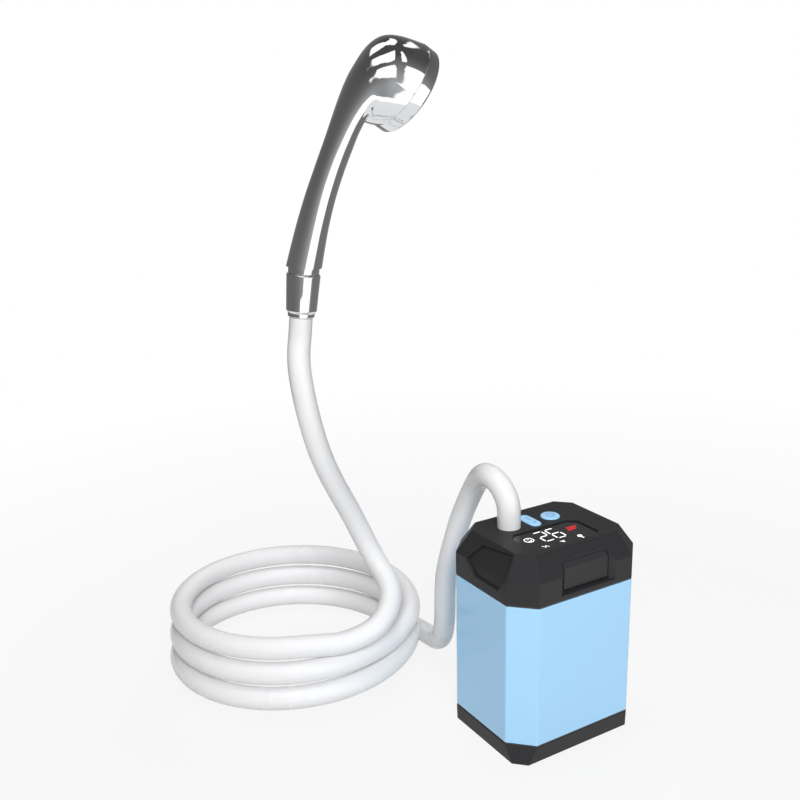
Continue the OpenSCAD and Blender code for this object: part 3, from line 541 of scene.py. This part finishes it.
# %% [markdown]
# ## Buttons
# The round and the pill button are gloss blue, with a rolled edge. Their outline has many short edges, so
# a bevel would crowd; they are built from rings instead, stepped in towards the top, which rounds the
# shoulder. A flange under the cap holds each button in, and a stem passes the press on.

# %% Round and pill button
STEM_R, FLANGE, FLANGE_LOW, FLANGE_HIGH = 2.0, 1.5, 138, 139.2
EDGE_ROLL, ROLL_STEPS = 0.9, 6


def pill_outline(half_w, half_len, steps=32):
    outline = []
    for k in range(2 * steps):
        a = math.pi * (k + 0.5) / steps
        shift = half_len - half_w if math.sin(a) > 0 else half_w - half_len
        outline.append((half_w * math.cos(a), half_w * math.sin(a) + shift))
    return outline


def button(name, node, body, centre, half_w, half_len):
    low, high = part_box(node)
    rows = [(STEM_R, STEM_R, low.z / MM), (STEM_R, STEM_R, FLANGE_LOW)]
    rows += [(half_w + FLANGE, half_len + FLANGE, z) for z in (FLANGE_LOW, FLANGE_HIGH)]
    rows.append((half_w, half_len, FLANGE_HIGH))
    for k in range(ROLL_STEPS + 1):
        a = math.pi / 2 * k / ROLL_STEPS
        inset = EDGE_ROLL * (1 - math.cos(a))
        rows.append((half_w - inset, half_len - inset, high.z / MM - EDGE_ROLL * (1 - math.sin(a))))
    rings = []
    for w, n, z in rows:
        rings.append([((centre[0] + x) * MM, (centre[1] + y) * MM, z * MM) for x, y in pill_outline(w, n)])
    piece = ring_mesh(name, rings, blue_abs, wrap=False)
    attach(piece, body)
    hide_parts(node)
    print(name, len(piece.data.polygons), "faces")


button("round_power_button", "power_button", "power_key", (14.5, 12.6), 6.75, 6.75)
button("pill_mode_button", "mode_button", "mode_key", (-2.4, 13.7), 4.25, 10.0)


# %% [markdown]
# ## Handset line
# The handle flows into a domed head in one chrome-plated moulding. Sculpting would leave dents that a
# mirror shows, so it is a loft: oval sections, each with its place, its turn and its two half widths, as
# shares of the handset's reach, rise and face. A curve runs through all of them.

# %% Sections of the handset
FACE_R, RISE, REACH = 31.0, 123.5, 60.5
shares = [(0, 0, 0, 0.392, 0.392), (0.068, 0.205, -2, 0.36, 0.359), (0.145, 0.3745, 4, 0.3345, 0.3265),
          (0.235, 0.527, 17, 0.318, 0.3145), (0.331, 0.673, 36, 0.333, 0.347),
          (0.428, 0.817, 58, 0.409, 0.44), (0.542, 0.94, 81, 0.601, 0.587),
          (0.706, 1.013, 99, 0.915, 0.7755), (1, 1, 117, 1, 1)]
sections = [(x * REACH, z * RISE, turn, deep * FACE_R, wide * FACE_R) for x, z, turn, deep, wide in shares]


def through(p, q, r, e, t):
    bend = 2 * p - 5 * q + 4 * r - e
    twist = 3 * q - p - 3 * r + e
    return (2 * q + t * (r - p) + t * t * bend + t ** 3 * twist) / 2


def shell_run(steps):
    padded = [sections[0], *sections, sections[-1]]
    run = []
    for a, b, c, d in zip(padded, padded[1:], padded[2:], padded[3:]):
        for s in range(steps):
            run.append([through(p, q, r, e, s / steps) for p, q, r, e in zip(a, b, c, d)])
    return [*run, list(sections[-1])]


print("handset runs through", len(sections), "sections")


# %% [markdown]
# ## Handset shell
# Each section becomes a ring of points in the handset's own frame. The outer skin has many rings, because
# chrome shows every facet. The inner one, smaller by the wall, has few, because it is out of sight.

# %% Handset shell
OUTER_STEPS, INNER_STEPS = 16, 6
Z_HANDLE, SHELL_WALL, HEAD_TURN = 34.0, 2.2, math.radians(27)
at_hose_end = (Matrix.Translation(HOSE_END) @ Matrix.Rotation(LEAN_DIR, 4, "Z")
               @ Matrix.Rotation(LEAN, 4, "Y") @ Matrix.Rotation(HEAD_TURN, 4, "Z"))


def section_ring(section, thinner, count=96):
    x, z, turn, half_deep, half_wide = section
    t = math.radians(turn)
    points = []
    for k in range(count):
        a = 2 * math.pi * k / count
        u, v = (half_deep - thinner) * math.cos(a), (half_wide - thinner) * math.sin(a)
        points.append(at_hose_end @ Vector((x + u * math.cos(t), v, Z_HANDLE + z - u * math.sin(t))) * MM)
    return points


outer_rings = [section_ring(s, 0) for s in shell_run(OUTER_STEPS)]
inner_rings = [section_ring(s, SHELL_WALL) for s in reversed(shell_run(INNER_STEPS))]
shell = ring_mesh("chrome_handset", outer_rings + inner_rings, chrome)
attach(shell, "handset")
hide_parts("handset_shell")
print("handset shell has", len(shell.data.polygons), "faces")


# %% [markdown]
# ## Turned parts of the handset
# The nut, the neck and the face ring are round about an axis, so each is a lathe profile. The solids have
# sharp corners, which catch no light; here the corners of the profile are rounded first, as plating
# rounds them.

# %% Nut, neck and face ring
LARGEST_CUT, RING_W = 0.42, 10.0


def rounded(profile, radius, steps=4):
    line = []
    for before, at, after in zip([profile[-1], *profile[:-1]], profile, [*profile[1:], profile[0]]):
        a, b, c = (Vector(p) for p in (before, at, after))
        cut = min(radius, LARGEST_CUT * (a - b).length, LARGEST_CUT * (c - b).length)
        start, end = b + (a - b).normalized() * cut, b + (c - b).normalized() * cut
        for s in range(steps + 1):
            t = s / steps
            line.append(start * (1 - t) ** 2 + b * 2 * t * (1 - t) + end * t * t)
    return line


def lathe(name, profile, place, material, node, radius, count=96):
    angles = [2 * math.pi * k / count for k in range(count)]
    rings = []
    for r, z in rounded(profile, radius):
        rings.append([place @ Vector((r * math.cos(a), r * math.sin(a), z)) * MM for a in angles])
    piece = ring_mesh(name, rings, material)
    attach(piece, "handset")
    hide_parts(node)
    print(name, len(piece.data.polygons), "faces")


end_x, end_z, end_turn = sections[-1][:3]
at_face = (at_hose_end @ Matrix.Translation(Vector((end_x, 0, Z_HANDLE + end_z)))
           @ Matrix.Rotation(math.radians(end_turn), 4, "Y") @ Matrix.Translation(Vector((0, 0, RING_W))))
nut_profile = [(8.05, 0), (9.2, 0), (9.2, 3), (10.5, 4.2), (11.6, 28.5), (11, 29.5), (9.7, 29.5), (9.7, 14.3),
               (9.5, 14.3), (9.5, 9.7), (8.05, 9.7)]
lathe("chrome_swivel_nut", nut_profile, at_hose_end, chrome, "swivel_nut", 0.5)
neck_profile = [(6.5, 14.3), (9.5, 14.3), (9.5, 29.7), (10.6, 29.7), (10.6, 34), (8.35, 34), (8.35, 39),
                (6.5, 39)]
lathe("chrome_neck", neck_profile, at_hose_end, chrome, "inlet_nipple", 0.4)
ring_profile = [(28, -10), (31, -10), (31, -1.2), (29.8, 0), (26.5, 0), (26.5, -1.6), (28, -1.6)]
lathe("chrome_face_ring", ring_profile, at_face, chrome, "face_ring", 0.5)


# %% [markdown]
# ## Nozzles
# Soft silicone nubs stand out of the spray plate in rings of six, twelve, eighteen and twenty-four around
# the middle one. An array modifier gives rows and not rings, so Geometry Nodes put one tapered nub on
# each point of the pattern.

# %% Nozzle nubs
NOZZLE_PITCH, NOZZLE_RINGS = 6.0, 4
FOOT_R, TIP_R, NUB_H, PLATE_DEPTH = 1.2, 0.85, 1.4, 1.9
NUB_SHARP_ANGLE = math.radians(40)
places = [(0.0, 0.0, 0.0)]
for ring_no in range(1, NOZZLE_RINGS + 1):
    reach = ring_no * NOZZLE_PITCH
    for i in range(6 * ring_no):
        a = 2 * math.pi * i / (6 * ring_no)
        places.append((reach * math.cos(a) * MM, reach * math.sin(a) * MM, 0.0))
pattern = bpy.data.meshes.new("nozzle_places")
pattern.from_pydata(places, [], [])
nubs, given, made = node_group("Nubs on a spray plate", {
    "Foot radius": "NodeSocketFloat", "Tip radius": "NodeSocketFloat", "Height": "NodeSocketFloat",
    "Material": "NodeSocketMaterial"})
nub = add(nubs, "GeometryNodeMeshCone", {"Vertices": 14, "Side Segments": 3, "Fill Segments": 2,
                                         "Radius Top": given.outputs["Tip radius"],
                                         "Radius Bottom": given.outputs["Foot radius"],
                                         "Depth": given.outputs["Height"]})
spread = add(nubs, "GeometryNodeInstanceOnPoints", {"Points": given.outputs["Geometry"],
                                                    "Instance": nub.outputs["Mesh"]})
real = add(nubs, "GeometryNodeRealizeInstances", {"Geometry": spread.outputs["Instances"]})
paint = add(nubs, "GeometryNodeSetMaterial", {"Geometry": real.outputs["Geometry"],
                                              "Material": given.outputs["Material"]})
nubs.links.new(paint.outputs["Geometry"], made.inputs["Geometry"])
nozzles = grow(bpy.data.objects.new("nozzle_places", pattern), nubs,
               {"Foot radius": FOOT_R * MM, "Tip radius": TIP_R * MM, "Height": NUB_H * MM,
                "Material": silicone}, "nozzle_nubs")
plate_front = at_face @ Matrix.Translation(Vector((0, 0, -PLATE_DEPTH)))
plate_front.translation *= MM
nozzles.data.transform(plate_front)
nozzles.data.shade_smooth()
nozzles.data.set_sharp_from_angle(angle=NUB_SHARP_ANGLE)
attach(nozzles, "handset")
print(len(places), "nozzles,", len(nozzles.data.polygons), "faces")


# %% [markdown]
# ## Strokes and digits
# The display shows two lit digits, small white signs and a red bar on its black acrylic. A text object
# could write the digits, but such a digit is up to seven bars, so every bar and ring is a stroke: a line
# of points drawn with a pen of some width and a blunt tip.

# %% Strokes and digits
PEN_TIP = 0.6


def stroke(line, width):
    plates = []
    for (x0, y0), (x1, y1) in zip(line, line[1:]):
        run = math.hypot(x1 - x0, y1 - y0)
        dx, dy = (x1 - x0) / run * width / 2, (y1 - y0) / run * width / 2
        tip_x, tip_y = PEN_TIP * dx, PEN_TIP * dy
        plates.append([(x0 - dy, y0 + dx), (x0 - tip_x, y0 - tip_y), (x0 + dy, y0 - dx),
                       (x1 + dy, y1 - dx), (x1 + tip_x, y1 + tip_y), (x1 - dy, y1 + dx)])
    return plates


def arc(x, y, radius, start, end, count=24):
    angles = [math.radians(start + (end - start) * i / count) for i in range(count + 1)]
    return [(x + radius * math.cos(a), y + radius * math.sin(a)) for a in angles]


def digit(left, low, parts, wide=7.2, tall=14.8, gap=1.0, width=0.92):
    right, high, middle = left + wide, low + tall, low + tall / 2
    bars = {}
    for level, y in (("top", high), ("middle", middle), ("bottom", low)):
        bars[level] = [(left + gap, y), (right - gap, y)]
    for side, x in (("left", left), ("right", right)):
        bars["upper_" + side] = [(x, high - gap), (x, middle + gap)]
        bars["lower_" + side] = [(x, middle - gap), (x, low + gap)]
    return [plate for part in parts for plate in stroke(bars[part], width)]


print("a ring of", len(stroke(arc(0, 0, 1, 0, 360), 0.5)), "short strokes")


# %% [markdown]
# ## Plates from outlines
# A printed or lit sign has almost no height. A picture could show it, but a thin closed plate stays sharp
# at any size. Each outline is turned the same way round first, so that every face looks outward. Plates
# lie a hundredth of a millimetre above what carries them, so that no two faces share a plane.

# %% Plates from outlines
SIGN_GAP = 0.01


def signs(name, plates, foot_mm, body, material, thick_mm=0.05):
    verts, faces = [], []
    for plate in plates:
        turn = sum(x0 * y1 - x1 * y0 for (x0, y0), (x1, y1) in zip(plate, [*plate[1:], plate[0]]))
        outline = plate if turn > 0 else plate[::-1]
        first, count = len(verts), len(outline)
        verts += [(x * MM, y * MM, foot_mm * MM) for x, y in outline]
        verts += [(x * MM, y * MM, (foot_mm + thick_mm) * MM) for x, y in outline]
        faces.append(tuple(range(first + count - 1, first - 1, -1)))
        faces.append(tuple(range(first + count, first + 2 * count)))
        faces += band(first, first + count, count)
    mesh = bpy.data.meshes.new(name)
    mesh.from_pydata(verts, [], faces)
    mesh.materials.append(material)
    piece = put(name, mesh)
    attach(piece, body)
    print(name, len(plates), "plates")


def sign_foot(node):
    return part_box(node)[1].z / MM + SIGN_GAP


lens_top = sign_foot("display_lens")
print("signs on the display start at", round(lens_top, 2), "mm")


# %% [markdown]
# ## Display and button signs
# The display's signs are lit, and those on the buttons are printed. Each set rides on what carries it, so
# a sign goes down with its button. Places are in millimetres, read with the pump's front edge below.

# %% Signs on the display and the buttons
white_plates = digit(-13.5, -17.8, ["top", "upper_right", "middle", "lower_left", "bottom"])
white_plates += digit(-3.5, -17.8, ["top", "upper_left", "middle", "lower_left", "lower_right", "bottom"])
white_plates += stroke(arc(-21.8, -10, 3.2, 0, 360), 0.5)
white_plates += stroke(arc(-21.8, -10.6, 1.3, 200, 380, 10), 0.45) + stroke([(-23, -9), (-20.6, -8.4)], 0.45)
white_plates += stroke([(-20.9, -22.2), (-19.4, -24.6), (-18.4, -22.8), (-16.9, -25)], 0.5)
white_plates += stroke([(-6, -22.4), (-4.6, -24.4), (-3, -22.6)], 0.5)
white_plates += stroke([(-4.4, -22.2), (-3.6, -24.8)], 0.45)
white_plates += [arc(10.5, -22.8, 1.7, 0, 345, 23)] + stroke([(10.6, -24.6), (10.8, -26.6)], 0.8)
signs("white_display_signs", white_plates, lens_top, "pump", white_sign)
red_bar = [(11.3, -7.0), (9.6, -13.0), (16.5, -12.3), (20.7, -7.4)]
signs("red_display_bar", [red_bar], lens_top, "pump", red_sign)
power_plates = stroke(arc(14.5, 12.6, 2.9, -240, 60), 0.55) + stroke([(14.5, 13), (14.5, 16.4)], 0.55)
signs("power_button_sign", power_plates, sign_foot("power_button"), "power_key", button_ink)
mode_plates = [arc(-2.2, 8.4, 1.1, 0, 345, 23)] + stroke([(-3.6, 14), (-1.2, 14)], 0.5)
for y in (16, 18):
    mode_plates += stroke([(-3.6, y), (-1.2, y)], 0.5)
signs("mode_button_sign", mode_plates, sign_foot("mode_button"), "mode_key", button_ink)


# %% [markdown]
# ## Studio floor
# The object stands on pale paper in a white room. Strong lamps could burn the paper out, but they would
# wash out the object too. So the floor is white to camera, glossy and transmission rays only. Near the
# object the paper keeps a part of its own shading, and with it the shadow; further out it fades into the
# white room with no horizon.

# %% Floor
FLOOR_HALF, FADE_FROM, FADE_TO, NEAR_WHITE = 6, 0.3, 0.9, 0.86
floor_mesh = bpy.data.meshes.new("floor")
corners = [(-1, -1), (1, -1), (1, 1), (-1, 1)]
floor_mesh.from_pydata([(x * FLOOR_HALF, y * FLOOR_HALF, 0) for x, y in corners], [], [(0, 1, 2, 3)])
floor = put("floor", floor_mesh)


def white_rays(tree):
    ray = add(tree, "ShaderNodeLightPath")
    clear = add(tree, "ShaderNodeMath", {0: ray.outputs["Is Glossy Ray"],
                                         1: ray.outputs["Is Transmission Ray"]}, operation="MAXIMUM")
    both = add(tree, "ShaderNodeMath", {0: ray.outputs["Is Camera Ray"], 1: clear.outputs["Value"]},
               operation="MAXIMUM")
    return both.outputs["Value"]


def empty_tree(owner):
    owner.use_nodes = True
    owner.node_tree.nodes.clear()
    return owner.node_tree


paper = bpy.data.materials.new("white_paper_floor")
tree = empty_tree(paper)
place = add(tree, "ShaderNodeTexCoord")
far = add(tree, "ShaderNodeVectorMath", {0: place.outputs["Object"]}, operation="LENGTH")
fade = add(tree, "ShaderNodeMapRange", {"Value": far.outputs["Value"], "From Min": FADE_FROM,
                                        "From Max": FADE_TO, "To Min": NEAR_WHITE, "To Max": 1.0})
seen = add(tree, "ShaderNodeMath", {0: white_rays(tree), 1: fade.outputs["Result"]}, operation="MULTIPLY")
matte = add(tree, "ShaderNodeBsdfDiffuse", {"Color": colour("C6C6C6")})
glow = add(tree, "ShaderNodeEmission", {"Color": colour("FFFFFF"), "Strength": 1.0})
mixed = add(tree, "ShaderNodeMixShader", {0: seen.outputs["Value"], 1: matte.outputs["BSDF"],
                                          2: glow.outputs["Emission"]})
add(tree, "ShaderNodeOutputMaterial", {"Surface": mixed.outputs["Shader"]})
floor_mesh.materials.append(paper)
print("floor of", paper.name)


# %% [markdown]
# ## World
# A photographer's white room gives a little light from all sides. A picture of a room could light the
# scene, but an even weak light is enough to open the shadows. The rays that show the background see it
# white.

# %% World
AMBIENT = 0.12
world = bpy.data.worlds.new("studio")
bpy.context.scene.world = world
tree = empty_tree(world)
ambient = add(tree, "ShaderNodeBackground", {"Color": colour("FFFFFF"), "Strength": AMBIENT})
white = add(tree, "ShaderNodeBackground", {"Color": colour("FFFFFF"), "Strength": 1.0})
sky = add(tree, "ShaderNodeMixShader", {0: white_rays(tree), 1: ambient.outputs["Background"],
                                        2: white.outputs["Background"]})
add(tree, "ShaderNodeOutputWorld", {"Surface": sky.outputs["Shader"]})
print("world", world.name)


# %% [markdown]
# ## Curtain and window panes
# Chrome shows nothing but its surroundings. A product photographer hangs a grey curtain round it and lets
# in light through panes, which gives the dark head with its rows of white windows and the bright strip
# down the handle. Both are given by direction from the head, in degrees: azimuth, from the camera to the
# right, and elevation. A pane is an outline; the curtain between is brighter or darker by azimuth and
# dark overhead.

# %% Panes and curtain
PANES = [
    [(-180, 68), (-148, 71), (-139, 60), (-136, 43), (-112, 48), (-99, 61), (-99, 71), (-116, 80),
     (-122, 87), (-180, 87)],
    [(106, 79), (112, 87), (181, 87), (181, 57), (160, 58), (146, 64), (128, 73)],
    [(110, 64), (124, 63), (147, 50), (157, 40), (142, 47), (121, 57)],
    [(-88, 51), (-62, 60), (-30, 67), (10, 72), (44, 72), (30, 62), (20, 49), (0, 46), (-30, 48), (-52, 46)],
    [(-36, 38), (-10, 39), (18, 39), (20, 32), (14, 14), (0, 13), (-16, 18), (-30, 29)],
    [(35, 45), (46, 55), (60, 63), (70, 64), (57, 56), (43, 46)],
    [(14, 5), (24, 5), (36, 27), (48, 40), (36, 39), (29, 32), (24, 24)],
    [(12, 5), (24, 8), (58, 3), (74, -13), (62, -22), (56, -40), (-15, -40), (-13, -27), (2, -26), (4, -20),
     (6, -15), (9.5, -9), (12.2, -3)],
]
WALL = [(-180, 0.3), (-150, 0.22), (-120, 0.16), (-60, 0.16), (-30, 0.21), (-5, 0.34), (10, 0.5), (40, 0.45),
        (60, 0.3), (75, 0.2), (130, 0.2), (160, 0.28), (180, 0.3)]
ROOF, ROOF_FROM, PANE_GLOW = 0.075, 60, 1.35


def in_pane(x, y, pane):
    crossings = 0
    for (x0, y0), (x1, y1) in zip(pane, [*pane[1:], pane[0]]):
        if (y0 > y) != (y1 > y) and x < x0 + (x1 - x0) * (y - y0) / (y1 - y0):
            crossings += 1
    return crossings % 2 == 1


def curtain_glow(azimuth, elevation):
    if any(in_pane(azimuth, elevation, pane) for pane in PANES):
        return PANE_GLOW
    for (a, low), (b, high) in zip(WALL, WALL[1:]):
        if a <= azimuth <= b:
            wall = low + (high - low) * (azimuth - a) / (b - a)
    return wall + (ROOF - wall) * min(1.0, max(0.0, elevation / ROOF_FROM))


print(len(PANES), "panes in the curtain")


# %% [markdown]
# ## Curtain dome
# The curtain hangs on a globe of one-degree faces round the shower head, closed at the top and open
# towards the floor. An image on a sphere would do too, but a brightness on each point needs no image.
# Only glossy rays meet it.

# %% Curtain dome
DOME_AT, DOME_R = Vector((-0.075, 0.12, 0.43)), 0.7
columns, rows = range(-180, 180), range(-37, 90)
points, levels = [], []
for elevation in rows:
    for azimuth in columns:
        bearing = HEADING + math.pi - math.radians(azimuth)
        flat = math.cos(math.radians(elevation))
        points.append(DOME_AT + DOME_R * Vector((math.sin(bearing) * flat, math.cos(bearing) * flat,
                                                 math.sin(math.radians(elevation)))))
        levels.append(curtain_glow(azimuth, elevation))
points.append(DOME_AT + Vector((0, 0, DOME_R)))
levels.append(ROOF)
across = len(columns)
rim = (len(rows) - 1) * across
faces = [face for low in range(0, rim, across) for face in band(low, low + across, across)]
faces += [(rim + k, rim + (k + 1) % across, len(points) - 1) for k in range(across)]
dome_mesh = bpy.data.meshes.new("curtain_dome")
dome_mesh.from_pydata(points, [], faces)
dome_mesh.attributes.new("glow", "FLOAT", "POINT").data.foreach_set("value", levels)
curtain = bpy.data.materials.new("grey_curtain")
tree = empty_tree(curtain)
level_of = add(tree, "ShaderNodeAttribute", attribute_name="glow")
light = add(tree, "ShaderNodeEmission", {"Color": colour("FFFFFF"), "Strength": level_of.outputs["Fac"]})
add(tree, "ShaderNodeOutputMaterial", {"Surface": light.outputs["Emission"]})
dome_mesh.materials.append(curtain)
dome = put("curtain_dome", dome_mesh)
dome.visible_camera = dome.visible_diffuse = dome.visible_shadow = dome.visible_transmission = False
print("curtain dome has", len(faces), "faces")


# %% [markdown]
# ## Lamps
# One soft key from the front left gives the sleeve its three tones: the chamfer brightest, the front as
# the colour is written, the side darker. A top softbox and a fill from the back right keep the hose pale
# all round. The lamps leave the gloss to the curtain, so they do not show as extra squares in the chrome.

# %% Lamps
def lamp(name, place, aim, size, watts):
    data = bpy.data.lights.new(name, "AREA")
    data.shape = "RECTANGLE"
    data.size, data.size_y = size
    data.energy = watts
    facing = (Vector(place) - Vector(aim)).to_track_quat("Z", "Y").to_matrix().to_4x4()
    obj = put(name, data)
    obj.matrix_world = Matrix.Translation(place) @ facing
    obj.visible_glossy = False


lamp("key_softbox", (-0.74, -1.46, 1.25), (0, 0, 0.12), (0.9, 0.9), 36)
lamp("top_softbox", (-0.1, 0.2, 1.8), (-0.05, 0.1, 0.2), (0.9, 0.9), 9)
lamp("back_fill", (1.2, 1.3, 1.0), (-0.05, 0.1, 0.2), (1.0, 1.0), 11)
bpy.context.scene.view_settings.view_transform = "Standard"
print("studio has", len(bpy.data.lights), "lamps")
